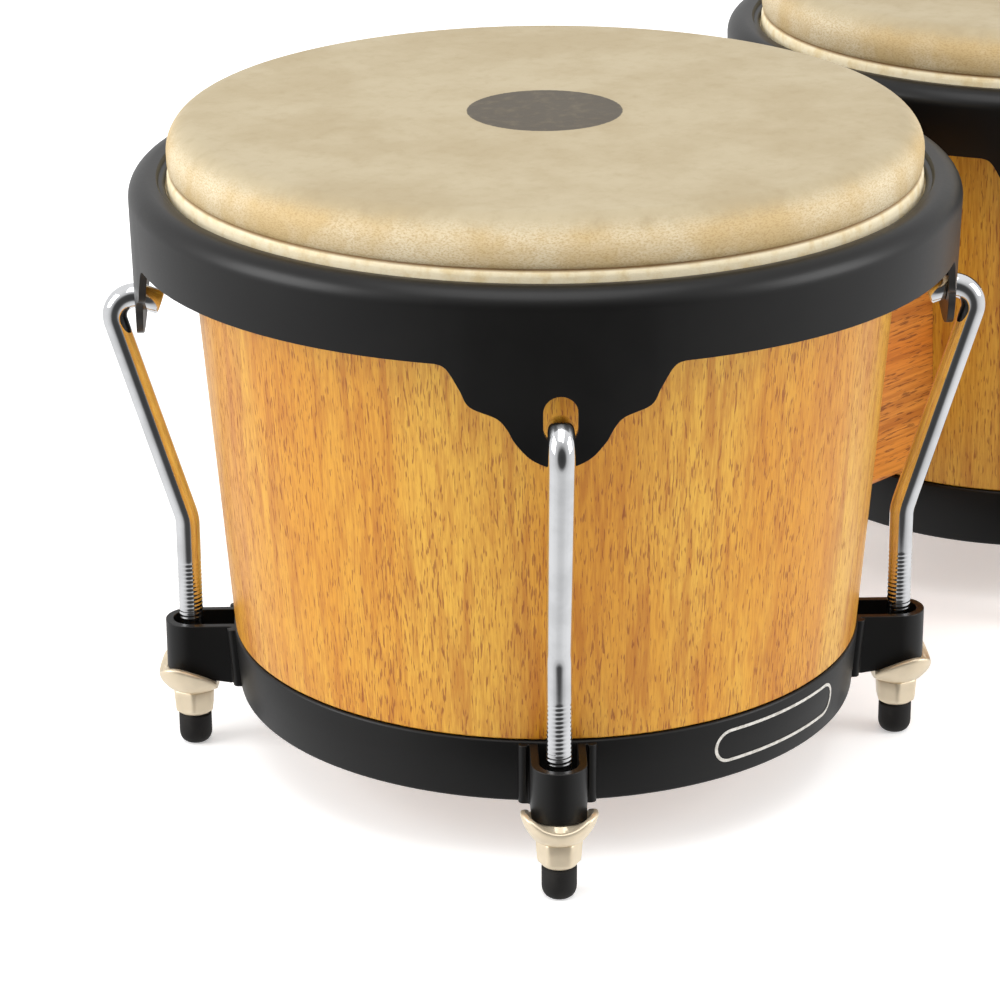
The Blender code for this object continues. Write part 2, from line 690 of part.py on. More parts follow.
def main():
    clear_scene()
    mats = {
        "shell_wood": material("shell_wood", (0.68, 0.37, 0.10), 0.35, 0.0),
        "block_wood": material("block_wood", (0.52, 0.24, 0.07), 0.40, 0.0),
        "rawhide": material("rawhide", (0.66, 0.54, 0.36), 0.55, 0.0),
        "black_steel": material("black_steel", (0.018, 0.018, 0.020), 0.42, 0.3),
        "hoop_steel": material("hoop_steel", (0.45, 0.45, 0.46), 0.35, 1.0),
        "chrome": material("chrome", (0.86, 0.87, 0.88), 0.06, 1.0),
        "nickel": material("nickel", (0.76, 0.69, 0.58), 0.28, 1.0),
        "rubber": material("rubber", (0.02, 0.02, 0.02), 0.75, 0.0),
        "zinc_steel": material("zinc_steel", (0.62, 0.63, 0.65), 0.30, 1.0),
    }
    make_drum(LARGE, 1, mats)
    make_drum(SMALL, -1, mats)
    make_block(mats["block_wood"])


main()
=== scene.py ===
"""Bongo drums: what each piece looks like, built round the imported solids. Metres, +Z up."""

import math

import bmesh
import bpy
from mathutils import Matrix, Vector


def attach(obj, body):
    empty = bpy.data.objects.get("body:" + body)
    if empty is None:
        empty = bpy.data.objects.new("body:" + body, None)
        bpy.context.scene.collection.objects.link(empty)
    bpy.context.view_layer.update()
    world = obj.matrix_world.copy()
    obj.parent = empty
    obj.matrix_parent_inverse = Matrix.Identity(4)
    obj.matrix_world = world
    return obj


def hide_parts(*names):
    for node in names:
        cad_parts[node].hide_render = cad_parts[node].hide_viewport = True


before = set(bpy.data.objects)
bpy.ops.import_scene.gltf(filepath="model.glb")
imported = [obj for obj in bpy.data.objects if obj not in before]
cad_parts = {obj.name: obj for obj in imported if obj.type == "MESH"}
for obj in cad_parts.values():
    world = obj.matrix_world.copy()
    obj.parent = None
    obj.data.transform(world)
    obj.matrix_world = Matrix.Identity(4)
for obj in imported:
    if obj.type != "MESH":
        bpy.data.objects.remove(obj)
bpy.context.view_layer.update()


# Shells. Each drum's body is a tapered tube of honey-coloured hardwood staves, glued edge to edge, turned
# true and finished with clear satin lacquer. A rebate round its foot takes the bottom ring, and its top edge
# is rounded off.

MM = 0.001


class Value:
    """One output of a material's nodes, so that sums on it read as plain arithmetic."""

    def __init__(self, finish, socket):
        self.finish = finish
        self.socket = socket

    def sum(self, operation, *values):
        inputs = dict(enumerate(values))
        return self.finish.node("Math", {"operation": operation}, inputs)

    def __add__(self, other):
        return self.sum("ADD", self, other)

    def __sub__(self, other):
        return self.sum("SUBTRACT", self, other)

    def __rsub__(self, other):
        return self.sum("SUBTRACT", other, self)

    def __mul__(self, other):
        return self.sum("MULTIPLY", self, other)

    def __abs__(self):
        return self.sum("ABSOLUTE", self)

    __radd__ = __add__
    __rmul__ = __mul__

    def step(self, low, high):
        """0 below low, 1 above high, and a smooth rise between. Swapped limits make it fall."""
        if low > high:
            return 1 - self.step(high, low)
        settings = {"interpolation_type": "SMOOTHSTEP"}
        return self.finish.node("MapRange", settings, {"Value": self, "From Min": low, "From Max": high})

    def axis(self, name):
        return self.finish.node("SeparateXYZ", {}, {"Vector": self}, out=name)

    def stretched(self, x, y, z):
        return self.finish.node("VectorMath", {"operation": "MULTIPLY"}, {0: self, 1: (x, y, z)})


class Finish:
    """A material whose colour, roughness and relief come from nodes. What is given by name stays constant."""

    def __init__(self, name, **constants):
        self.material = bpy.data.materials.new(name)
        self.material.use_nodes = True
        self.tree = self.material.node_tree
        self.shader = self.tree.nodes["Principled BSDF"]
        for socket, value in constants.items():
            self.shader.inputs[socket.replace("_", " ")].default_value = value
        self.spot = self.node("TexCoord", out="Object")

    def node(self, kind, settings=None, inputs=None, out=0):
        """A new node: its settings are set first, then each socket gets a value or a link."""
        made = self.tree.nodes.new("ShaderNode" + kind)
        for name, value in (settings or {}).items():
            setattr(made, name, value)
        for name, value in (inputs or {}).items():
            if isinstance(value, Value):
                self.tree.links.new(value.socket, made.inputs[name])
            else:
                made.inputs[name].default_value = value
        return Value(self, made.outputs[out])

    def noise(self, vector, size, detail=2.0, roughness=0.5):
        """Cloudy pattern from 0 to 1, whose blotches are about as large as size in metres."""
        inputs = {"Vector": vector, "Scale": 1 / size, "Detail": detail, "Roughness": roughness}
        return self.node("TexNoise", {}, inputs)

    def mix(self, share, first, second):
        """Blends two colours by a share from 0 to 1."""
        return self.node("Mix", {"data_type": "RGBA"}, {0: share, 6: first, 7: second}, out=2)

    def relief(self, height, depth):
        """Turns a height from 0 to 1 into a normal, as relief of the given depth."""
        return self.node("Bump", {}, {"Height": height, "Distance": depth, "Strength": 1.0})

    def feed(self, **inputs):
        for name, value in inputs.items():
            self.tree.links.new(value.socket, self.shader.inputs[name.replace("_", " ")])
        return self.material


def tint(red, green, blue):
    """A colour as it looks on a screen, from 0 to 255, turned into the light it reflects."""
    shares = (value / 255 for value in (red, green, blue))
    return (*(s / 12.92 if s < 0.043 else ((s + 0.055) / 1.055) ** 2.4 for s in shares), 1.0)


def wood(name, pale, warm, deep, pore, upright, staves=0):
    """Lacquered hardwood with its grain along Z, or along X if it isn't upright."""
    finish = Finish(name, Specular_IOR_Level=0.4, Coat_Weight=0.15, Coat_Roughness=0.22)

    def along(ratio):
        """Squeezes the pattern's coordinates along the grain, which draws the pattern out."""
        return finish.spot.stretched(1, 1, ratio) if upright else finish.spot.stretched(ratio, 1, 1)

    tone = finish.noise(along(0.10), 26 * MM, 3.0)
    streak = finish.noise(along(0.030), 3.2 * MM, 4.0, 0.6)
    fibre = finish.noise(along(0.035), 0.6 * MM, 3.0, 0.6)
    color = finish.mix(tone.step(0.36, 0.64), pale, warm)
    if staves:
        depth = finish.spot.axis("Y")
        turn = depth.sum("ARCTAN2", depth, finish.spot.axis("X"))
        stave = turn * (staves / (2 * math.pi))
        lot = finish.node("TexWhiteNoise", {"noise_dimensions": "1D"}, {"W": stave.sum("FLOOR", stave)})
        color = finish.mix(lot * 0.30, color, warm)
    color = finish.mix(streak.step(0.44, 0.68) * 0.52, color, deep)
    color = finish.mix(fibre.step(0.38, 0.66) * 0.40, color, deep)
    dashes = finish.noise(along(0.085), 0.46 * MM, 1.5)
    crowd = finish.noise(along(0.3), 14 * MM, 3.0)
    pores = (dashes + crowd * 0.22).step(0.695, 0.775)
    color = finish.mix(pores * 0.64, color, pore)
    height = 1 - (pores * 0.8 + fibre * 0.2)
    return finish.feed(
        Base_Color=color,
        Roughness=0.30 + fibre * 0.12 + pores * 0.2,
        Normal=finish.relief(height, 0.05 * MM),
    )


def circle(radius, z, steps):
    """Points round the vertical axis."""
    turns = (2 * math.pi * i / steps for i in range(steps))
    return [(radius * math.cos(t), radius * math.sin(t), z) for t in turns]


def arc(center, radius, start, end, steps):
    """Points (distance out, height) on an arc, from one angle to the other in degrees."""
    turns = (math.radians(start + (end - start) * i / steps) for i in range(steps + 1))
    return [(center[0] + radius * math.cos(t), center[1] + radius * math.sin(t)) for t in turns]


def skinned(bm, rings, capped=False):
    """Adds faces between rings of equal length. Uncapped, the last ring joins the first, as round a hole."""
    loops = [[bm.verts.new(point) for point in ring] for ring in rings]
    pairs = list(zip(loops, loops[1:]))
    if not capped:
        pairs.append((loops[-1], loops[0]))
    for lower, upper in pairs:
        for i in range(len(lower)):
            j = (i + 1) % len(lower)
            bm.faces.new((lower[i], lower[j], upper[j], upper[i]))
    if capped:
        bm.faces.new(loops[0])
        bm.faces.new(loops[-1])


def piece(name, bm, material, sharp=30.0):
    """An object from a mesh, smooth except at edges sharper than the given angle."""
    bmesh.ops.recalc_face_normals(bm, faces=bm.faces)
    mesh = bpy.data.meshes.new(name)
    bm.to_mesh(mesh)
    bm.free()
    mesh.shade_smooth()
    mesh.set_sharp_from_angle(angle=math.radians(sharp))
    mesh.materials.append(material)
    obj = bpy.data.objects.new(name, mesh)
    bpy.context.scene.collection.objects.link(obj)
    return obj


def lofted(name, rings, material, capped=False, sharp=30.0):
    """A piece skinned over rings of points."""
    bm = bmesh.new()
    skinned(bm, rings, capped)
    return piece(name, bm, material, sharp)


def turned(name, profile, material, steps=180, capped=False, sharp=30.0):
    """A piece turned round the vertical axis, from points (radius, height)."""
    return lofted(name, [circle(radius, z, steps) for radius, z in profile], material, capped, sharp)


def fit(obj, place, azimuth, body, slot, *nodes):
    """Puts a piece at a place (x, y), turned to an azimuth. It rides on a body and stands for solids."""
    obj.location = (*place, 0)
    obj.rotation_euler = (0, 0, math.radians(azimuth))
    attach(obj, body)
    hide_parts(*nodes)


SHELL_LOW = 23.3 * MM
SHELL_HIGH = 187.7 * MM
RING_PROUD = 0.5 * MM  # how far the bottom ring stands out from the wood


class Drum:
    """One drum: its axis, and the outside radii of its skin, wood and bottom ring."""

    def __init__(self, name, x, skin_r, foot_r):
        self.name = name
        self.x = x
        self.axis = (x, 0)
        self.skin_r = skin_r
        self.rod_r = skin_r - 1.8 * MM
        self.top_r = skin_r - 3.4 * MM
        self.foot_r = foot_r
        self.slope = (self.top_r - foot_r) / (SHELL_HIGH - SHELL_LOW)

    def wood_r(self, z):
        return self.foot_r + self.slope * (z - SHELL_LOW)

    def ring_r(self, z):
        return self.wood_r(z) + RING_PROUD

    def rod_place(self, azimuth):
        turn = math.radians(azimuth)
        return self.x + self.rod_r * math.cos(turn), self.rod_r * math.sin(turn)


LARGE = Drum("large", -108.575 * MM, 105.0 * MM, 89.0 * MM)
SMALL = Drum("small", 124.45 * MM, 89.125 * MM, 75.625 * MM)
DRUMS = (LARGE, SMALL)
WALL = 9.0 * MM
REBATE = 1.8 * MM
RING_LOW = 21.0 * MM
RING_H = 18.5 * MM
SEAM = 0.3 * MM  # gap between two pieces that rest on each other
LEDGE_EDGE = 0.4 * MM
TOP_ROUND = 6.1 * MM
INNER_EDGE = 1.5 * MM

stave_wood = wood(
    "stave_wood",
    pale=tint(212, 164, 58),
    warm=tint(202, 140, 34),
    deep=tint(160, 86, 10),
    pore=tint(122, 50, 6),
    upright=True,
    staves=12,
)
for drum in DRUMS:
    ledge = RING_LOW + RING_H + SEAM
    rise = math.degrees(math.atan(drum.slope))
    profile = [
        (drum.wood_r(SHELL_LOW) - REBATE, SHELL_LOW),
        (drum.wood_r(ledge) - REBATE, ledge),
        (drum.wood_r(ledge) - LEDGE_EDGE, ledge),
        (drum.wood_r(ledge), ledge + LEDGE_EDGE),
        *((drum.wood_r(z * MM), z * MM) for z in (60, 90, 120, 150, 175)),
        *arc((drum.top_r - TOP_ROUND, SHELL_HIGH - TOP_ROUND), TOP_ROUND, -rise, 90, 10),
        (drum.top_r - WALL + INNER_EDGE, SHELL_HIGH),
        (drum.top_r - WALL, SHELL_HIGH - INNER_EDGE),
        *((drum.wood_r(z * MM) - WALL, z * MM) for z in (150, 120, 90, 60)),
        (drum.wood_r(SHELL_LOW) - WALL, SHELL_LOW),
    ]
    shell = turned(f"{drum.name}_shell_staves", profile, stave_wood)
    fit(shell, drum.axis, 0, "frame", "shell_wood", f"{drum.name}_shell")


# Centre block, with the bolts and washers that hold it from inside the shells. The block is a plain piece of
# darker hardwood under the same lacquer, with its ends hollowed to the shells. The bolts and washers are
# zinc-plated steel.


def plated_steel(name, color, roughness, metallic=1.0):
    """Plated steel, slightly uneven in its colour and polish. A brushed, matt plating is less metallic."""
    finish = Finish(name, Metallic=metallic)
    cloud = finish.noise(finish.spot, 9 * MM, 3.0)
    grit = finish.noise(finish.spot, 1.2 * MM, 3.0, 0.6)
    dull = (*(0.82 * share for share in color[:3]), 1.0)
    return finish.feed(
        Base_Color=finish.mix(cloud.step(0.35, 0.70) * 0.7, color, dull),
        Roughness=roughness + cloud * (roughness * 0.3) + grit * (roughness * 0.3),
        Normal=finish.relief(grit, 0.006 * MM),
    )


def finished(node, material):
    """Gives a solid of the frame a material of its own."""
    node.data.materials.clear()
    node.data.materials.append(material)


block_wood = wood(
    "block_wood",
    pale=tint(216, 140, 56),
    warm=tint(204, 118, 36),
    deep=tint(150, 74, 16),
    pore=tint(92, 40, 10),
    upright=False,
)
zinc = plated_steel("zinc", tint(200, 200, 204), 0.30)
finished(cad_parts["centre_block"], block_wood)
for name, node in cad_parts.items():
    if "_block_bolt_" in name or "_block_washer_" in name:
        finished(node, zinc)


# Bottom rings. Each is an L-section steel hoop round the shell's foot, with a strap bracket welded on at each
# rod. A strap goes round its rod and is open at the top. The whole ring is powder-coated satin black.


def powder_coat(name, roughness):
    """Satin black powder coat: nearly even, with a fine orange peel."""
    finish = Finish(name, Specular_IOR_Level=0.24, Coat_Weight=0.22, Coat_Roughness=0.30)
    cloud = finish.noise(finish.spot, 30 * MM, 3.0)
    peel = finish.noise(finish.spot, 0.9 * MM, 2.0)
    return finish.feed(
        Base_Color=finish.mix(cloud.step(0.3, 0.7), tint(7, 6, 6), tint(13, 12, 11)),
        Roughness=roughness + cloud * 0.10 + peel * 0.06,
        Normal=finish.relief(peel, 0.010 * MM),
    )


def softened(obj, width):
    """Rounds a piece's sharp edges off a little."""
    bevel = obj.modifiers.new("soft_edges", "BEVEL")
    bevel.width = width
    bevel.segments = 2
    bevel.limit_method = "ANGLE"
    bevel.angle_limit = math.radians(40)
    return obj


AZIMUTHS = (45, 135, 225, 315)
RING_T = 2.0 * MM
RING_IN = 6.0 * MM  # from the ring's face to the inner edge of its lip
RING_EDGE = 0.8 * MM
STRAP_R = 7.5 * MM
STRAP_T = 2.2 * MM
STRAP_SLOPE = math.tan(math.radians(9.0))
STRAP_FOOT = RING_LOW + 2.0 * MM  # its lower edge at the rod
STRAP_TOP = RING_LOW + RING_H - 0.5 * MM
WELD_IN = 1.0 * MM
PAD_HALF = 10.6 * MM
PAD_T = 1.7 * MM
PAD_ROUND = 1.5 * MM
HEEL_ROUND = 0.9 * MM


def strap_outline(rod):
    """Plan of a strap, as (distance out from the ring's face, sideways): pads, legs and a round end."""
    pad = arc((PAD_T - PAD_ROUND, PAD_HALF - PAD_ROUND), PAD_ROUND, 90, 0, 6)
    heel = arc((PAD_T + HEEL_ROUND, STRAP_R + HEEL_ROUND), HEEL_ROUND, 180, 270, 4)
    half = [(-WELD_IN, PAD_HALF), *pad, *heel]
    outside = arc((rod, 0), STRAP_R, 90, -90, 20)
    inside = arc((rod, 0), STRAP_R - STRAP_T, -90, 90, 16)
    mirrored = [(out, -side) for out, side in reversed(half)]
    return [*half, *outside, *mirrored, (-WELD_IN, STRAP_T - STRAP_R), *inside, (-WELD_IN, STRAP_R - STRAP_T)]


def strap_ring(drum, azimuth, level):
    """The strap's outline at a level from 0 to 1. Its pads follow the ring's lean."""
    face = drum.ring_r(RING_LOW)
    turn = Matrix.Rotation(math.radians(azimuth), 3, "Z")
    ring = []
    for out, side in strap_outline(drum.rod_r - face):
        foot = max(STRAP_FOOT + STRAP_SLOPE * (face + out - drum.rod_r), RING_LOW + SEAM)
        z = foot + (STRAP_TOP - foot) * level
        lean = drum.slope * (z - RING_LOW) if out <= PAD_T else 0.0
        ring.append(turn @ Vector((face + out + lean, side, z)))
    return ring


ring_coat = powder_coat("ring_coat", 0.42)
for drum in DRUMS:
    top = RING_LOW + RING_H
    low_r = drum.ring_r(RING_LOW)
    high_r = drum.ring_r(top)
    profile = [
        (low_r - RING_IN, RING_LOW),
        *arc((low_r - RING_EDGE, RING_LOW + RING_EDGE), RING_EDGE, -90, 0, 3),
        (drum.ring_r(RING_LOW + RING_H / 2), RING_LOW + RING_H / 2),
        *arc((high_r - RING_EDGE, top - RING_EDGE), RING_EDGE, 0, 90, 3),
        (high_r - RING_T, top),
        (low_r - RING_T, RING_LOW + RING_T),
        (low_r - RING_IN, RING_LOW + RING_T),
    ]
    bm = bmesh.new()
    skinned(bm, [circle(radius, z, 180) for radius, z in profile])
    for azimuth in AZIMUTHS:
        skinned(bm, [strap_ring(drum, azimuth, level) for level in (0.0, 0.5, 1.0)], capped=True)
    ring = softened(piece(f"{drum.name}_foot_ring", bm, ring_coat, 35), 0.35 * MM)
    fit(ring, drum.axis, 0, "frame", "black_steel", f"{drum.name}_bottom_ring")


# A plain outline is printed on the large drum's ring, midway between two brackets. It is a thin coat of
# pale ink.

BADGE_HALF_W = 25 * MM
BADGE_HALF_H = 4.6 * MM
BADGE_Z = 31 * MM
INK_HALF_W = 0.45 * MM
INK_T = 0.12 * MM
END_STEPS = 16
SIDE_STEPS = 10


def badge_ring(grow, lift):
    """The outline wrapped on the ring's face, grown from its middle line and lifted off the face."""
    reach = BADGE_HALF_H + grow
    points = []
    for middle, start in ((BADGE_HALF_W - BADGE_HALF_H, -90), (BADGE_HALF_H - BADGE_HALF_W, 90)):
        points += arc((middle, BADGE_Z), reach, start, start + 180, END_STEPS)
        across, up = points[-1]
        points += [(across - 2 * middle * i / SIDE_STEPS, up) for i in range(1, SIDE_STEPS)]
    ring = []
    for across, up in points:
        radius = LARGE.ring_r(up) + lift
        turn = across / radius - math.pi / 2
        ring.append((radius * math.cos(turn), radius * math.sin(turn), up))
    return ring


print_finish = Finish("badge_print", Roughness=0.45)
wear = print_finish.noise(print_finish.spot, 1.5 * MM, 3.0).step(0.35, 0.75)
badge_print = print_finish.feed(Base_Color=print_finish.mix(wear, tint(205, 202, 196), tint(172, 168, 160)))
section = ((-INK_HALF_W, 0), (-INK_HALF_W, INK_T), (INK_HALF_W, INK_T), (INK_HALF_W, 0))
badge = lofted("large_ring_outline", [badge_ring(grow, lift) for grow, lift in section], badge_print)
badge.location.x = LARGE.x
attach(badge, "frame")


# Heads. Each is one rawhide, soaked and stretched over the shell, with its edge rolled round a steel flesh
# hoop. The face dries smooth and greyish cream, the side stays golden and fibrous, and a plain dark disc is
# printed on it.

HEAD_Z = 189.8 * MM
SKIN_T = 1.8 * MM
SIDE_T = 2.4 * MM
HEAD_ROUND = 8.5 * MM
CREASE_DROP = 13.4 * MM
ROLL_DROP = 23.4 * MM
ROLL_OUT = 2.2 * MM
ROLL_R = 4.2 * MM
HOOP_SPACE_R = 3.0 * MM
DISC_R = 22.0 * MM


def rawhide():
    """Rawhide by its place on the head: the face with its printed disc, the side, the crease with painted
    shade along it, and the roll.
    """
    hide = Finish("hide", Specular_IOR_Level=0.35)
    flat = hide.spot.stretched(1, 1, 0)
    across = hide.node("VectorMath", {"operation": "LENGTH"}, {0: flat}, out="Value")
    height = hide.spot.axis("Z")
    cloud = hide.noise(hide.spot, 30 * MM, 5.0, 0.6)
    mottle = hide.noise(hide.spot, 5 * MM, 5.0, 0.65)
    hairs = hide.noise(hide.spot.stretched(1, 1, 2.2), 0.75 * MM, 4.0, 0.65)
    face = hide.mix(cloud.step(0.35, 0.65), tint(181, 167, 137), tint(171, 155, 123))
    face = hide.mix(mottle.step(0.45, 0.75) * 0.30, face, tint(157, 139, 106))
    flank = hide.mix(cloud.step(0.36, 0.62), tint(213, 199, 168), tint(197, 172, 125))
    flank = hide.mix(hairs.step(0.42, 0.66) * 0.60, flank, tint(172, 140, 89))
    roll = hide.mix(mottle.step(0.40, 0.70), tint(252, 238, 204), tint(238, 216, 168))
    on_face = (height + mottle * (2.4 * MM)).step(HEAD_Z - 4.2 * MM, HEAD_Z + 0.8 * MM)
    color = hide.mix(on_face, flank, face)
    below_crease = height.step(HEAD_Z - CREASE_DROP + 0.2 * MM, HEAD_Z - CREASE_DROP - 0.5 * MM)
    color = hide.mix(below_crease, color, roll)
    # Painted shade: a narrow band along the crease is darkened, standing in for the shadow in the fold.
    crease_shade = abs(height - (HEAD_Z - CREASE_DROP)).step(0.7 * MM, 0.1 * MM)
    color = hide.mix(crease_shade * 0.7, color, tint(140, 102, 54))
    speck = hide.noise(hide.spot, 0.8 * MM, 3.0)
    ink = (across + speck * (0.5 * MM)).step(DISC_R, DISC_R - 0.3 * MM)
    ink = ink * height.step(HEAD_Z - 1 * MM, HEAD_Z - 0.5 * MM)
    color = hide.mix(ink * (0.90 - mottle.step(0.45, 0.85) * 0.22), color, tint(58, 52, 46))
    coarse = height.step(HEAD_Z - 0.5 * MM, HEAD_Z - 5 * MM)
    grain = cloud * 0.5 + mottle * 0.3 + hairs * (0.20 + coarse * 0.40)
    return hide.feed(
        Base_Color=color,
        Roughness=0.50 + mottle * 0.12 + coarse * 0.10,
        Normal=hide.relief(grain, 0.22 * MM),
    )


hide_material = rawhide()
hoop_steel = plated_steel("hoop_steel", tint(178, 178, 180), 0.35)
for drum in DRUMS:
    side = drum.skin_r
    wire = (side + ROLL_OUT, HEAD_Z - ROLL_DROP)
    under = HEAD_Z - SKIN_T
    inner_round = HEAD_ROUND - SIDE_T
    profile = [
        *((radius * MM, HEAD_Z) for radius in (2, 8, 15, 19, 21, 23, 30, 45, 60)),
        (side - 16 * MM, HEAD_Z),
        *reversed(arc((side - HEAD_ROUND, HEAD_Z - HEAD_ROUND), HEAD_ROUND, 2, 90, 12)),
        (side - 0.1 * MM, HEAD_Z - 11.5 * MM),
        (side - 0.5 * MM, HEAD_Z - CREASE_DROP + 0.5 * MM),
        (side - 1.0 * MM, HEAD_Z - CREASE_DROP),
        (side - 0.4 * MM, HEAD_Z - CREASE_DROP - 0.5 * MM),
        (side, HEAD_Z - 15.2 * MM),
        (side, HEAD_Z - 19.8 * MM),
        *arc(wire, ROLL_R, 90, -110, 16),
        *arc(wire, HOOP_SPACE_R, -110, 120, 12),
        (side - SIDE_T, HEAD_Z - 20.7 * MM),
        *arc((side - HEAD_ROUND, under - inner_round), inner_round, 0, 90, 6),
        (2 * MM, under),
    ]
    head = turned(f"{drum.name}_rawhide", profile, hide_material, capped=True, sharp=50)
    fit(head, drum.axis, 0, f"{drum.name}_head", "rawhide", f"{drum.name}_head_skin")
    finished(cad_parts[f"{drum.name}_flesh_hoop"], hoop_steel)


# Rims. Each is a steel band, rolled inwards at its top over the head's roll. At each rod a scalloped plate
# hangs from it, with an upright slot for the hook. It is powder-coated like the bottom ring.

RIM_TOP = 174.4 * MM
BAND_LOW = 154.1 * MM
RIM_T = 2.0 * MM
RIM_LEDGE = 10.9 * MM  # from the skin's side to the band's outside
RIM_TAPER = 0.8 * MM
CURL_R = 5.6 * MM
LIP_GAP = 0.6 * MM
LIP_DROP = 1.5 * MM
ROD_R = 3.5 * MM
HOOK_Z = 137.6 * MM
SLOT_R = 4.45 * MM
SLOT_LOW = HOOK_Z - ROD_R - SEAM - 0.46 * MM + SLOT_R  # middle of the slot's lower end
SLOT_HIGH = SLOT_LOW + 4.3 * MM
GAP_STEPS = 18

# Half of a plate's outline in millimetres, as (half width, drop below the band)
PLATE = (
    (32.5, 0.0),
    (29.4, 1.3),
    (26.0, 6.6),
    (23.4, 11.0),
    (16.6, 13.7),
    (13.8, 16.6),
    (11.6, 20.4),
    (7.0, 25.0),
    (0.0, 27.2),
)


def between(a, b, c, d, t):
    """A point between b and c on the smooth curve through four points."""
    return 0.5 * (2 * b + (c - a) * t + (2 * a - 5 * b + 4 * c - d) * t**2 + (3 * b - a - 3 * c + d) * t**3)


def plate_curve(steps=6):
    """The plate's outline drawn smooth through its points, as (half width, drop)."""
    points = [Vector(point) * MM for point in ((36.0, -0.05), *PLATE, (-7.0, 25.0))]
    fours = list(zip(points, points[1:], points[2:], points[3:]))
    smooth = [between(*four, i / steps) for four in fours for i in range(steps)]
    return [*smooth, points[-2]]


def carved(obj, tools):
    """Cuts the tools out of a piece and removes them."""
    for tool in tools:
        cut = obj.modifiers.new(tool.name, "BOOLEAN")
        cut.object = tool
        cut.operation = "DIFFERENCE"
        cut.solver = "EXACT"
    mesh = bpy.data.meshes.new_from_object(obj.evaluated_get(bpy.context.evaluated_depsgraph_get()))
    obj.modifiers.clear()
    obj.data = mesh
    mesh.set_sharp_from_angle(angle=math.radians(35))
    for tool in tools:
        bpy.data.objects.remove(tool, do_unlink=True)
    return obj


def rim_stations(out):
    """(angle, drop of the lower edge) round a rim of the given radius."""
    curve = plate_curve()
    half_plate = curve[0][0] / out
    gap = math.pi / 2 - 2 * half_plate
    stations = []
    for azimuth in AZIMUTHS:
        middle = math.radians(azimuth)
        stations += [(middle - half / out, max(drop, 0.0)) for half, drop in curve]
        stations += [(middle + half / out, max(drop, 0.0)) for half, drop in reversed(curve[:-1])]
        stations += [(middle + half_plate + gap * i / GAP_STEPS, 0.0) for i in range(1, GAP_STEPS)]
    return stations


rim_coat = powder_coat("rim_coat", 0.36)
slot_outline = arc((0, SLOT_LOW), SLOT_R, 180, 360, 14) + arc((0, SLOT_HIGH), SLOT_R, 0, 180, 14)
for drum in DRUMS:
    out = drum.skin_r + RIM_LEDGE
    low_out = out - RIM_TAPER
    curl = (out - CURL_R, RIM_TOP - CURL_R)
    lip_r = drum.skin_r + LIP_GAP
    lip_middle = (lip_r + RIM_T / 2, RIM_TOP - LIP_DROP - RIM_T / 2)
    profile = [
        (low_out, None),
        (out, curl[1]),
        *arc(curl, CURL_R, 10, 90, 10),
        ((curl[0] + lip_r) / 2, RIM_TOP - 0.3 * MM),
        *reversed(arc(lip_middle, RIM_T / 2, 100, 260, 5)),
        *reversed(arc(curl, CURL_R - RIM_T, 0, 90, 6)),
        (low_out - RIM_T, None),
    ]
    stations = rim_stations(out)
    rings = []
    for radius, z in profile:
        rings.append([
            (radius * math.cos(turn), radius * math.sin(turn), BAND_LOW - drop if z is None else z)
            for turn, drop in stations
        ])
    rim = lofted(f"{drum.name}_rim_band", rings, rim_coat, sharp=35)
    tools = []
    for azimuth in AZIMUTHS:
        ends = [[(x, side, z) for side, z in slot_outline] for x in (out - 3 * RIM_T, out + RIM_T)]
        tool = lofted(f"{drum.name}_slot_{azimuth}", ends, rim_coat, capped=True)
        tool.rotation_euler.z = math.radians(azimuth)
        tools.append(tool)
    bpy.context.view_layer.update()
    softened(carved(rim, tools), 0.4 * MM)
    fit(rim, drum.axis, 0, f"{drum.name}_head", "black_steel", f"{drum.name}_rim")


# Tuning rods. Each is a chrome-plated steel rod, hooked into its plate's slot, bent outwards at mid height to
# clear the rim, and threaded at its lower end.

ROD_END = 4.5 * MM
LEAN = 16.7
BEND_R = 14.0 * MM
HOOK_R = 6.0 * MM
HOOK_OUT = 12.2 * MM
TIP = 5.4 * MM
TIP_SLOPE = 20.0
THREAD_LOW = 17.0 * MM
THREAD_TOP = 57.3 * MM
THREAD_DEPTH = 0.11 * MM
PITCH = 1.25 * MM
TURN_STEPS = 6
END_CHAMFER = 0.5 * MM
END_SHARE = 0.86
BAR_SIDES = 24


def rod_line():
    """The rod's centre line as (distance out, height), from its lower end to its tip."""
    lean = math.radians(LEAN)
    hook = (HOOK_OUT, HOOK_Z - HOOK_R)
    leave = (hook[0] + HOOK_R * math.cos(lean), hook[1] - HOOK_R * math.sin(lean))
    corner = leave[1] - leave[0] / math.tan(lean)
    bend = arc((BEND_R, corner - BEND_R * math.tan(lean / 2)), BEND_R, 180, 180 - LEAN, 10)
    curl = arc(hook, HOOK_R, -LEAN, 90 + TIP_SLOPE, 22)
    slope = math.radians(TIP_SLOPE)
    tip = (curl[-1][0] - TIP * math.cos(slope), curl[-1][1] - TIP * math.sin(slope))
    steps = int((THREAD_TOP - THREAD_LOW) / PITCH * TURN_STEPS)
    thread = [(0.0, THREAD_LOW + i * PITCH / TURN_STEPS) for i in range(steps + 1)]
    return [(0.0, ROD_END), *thread, (0.0, THREAD_TOP + END_CHAMFER), *bend, *curl, tip]


def chamfered(end_ring, inward):
    """A narrower ring at a bar's end, and a full one a little further in."""
    middle = sum(end_ring, Vector()) / BAR_SIDES
    narrow = [middle + (point - middle) * END_SHARE for point in end_ring]
    return narrow, [point + inward * END_CHAMFER for point in end_ring]


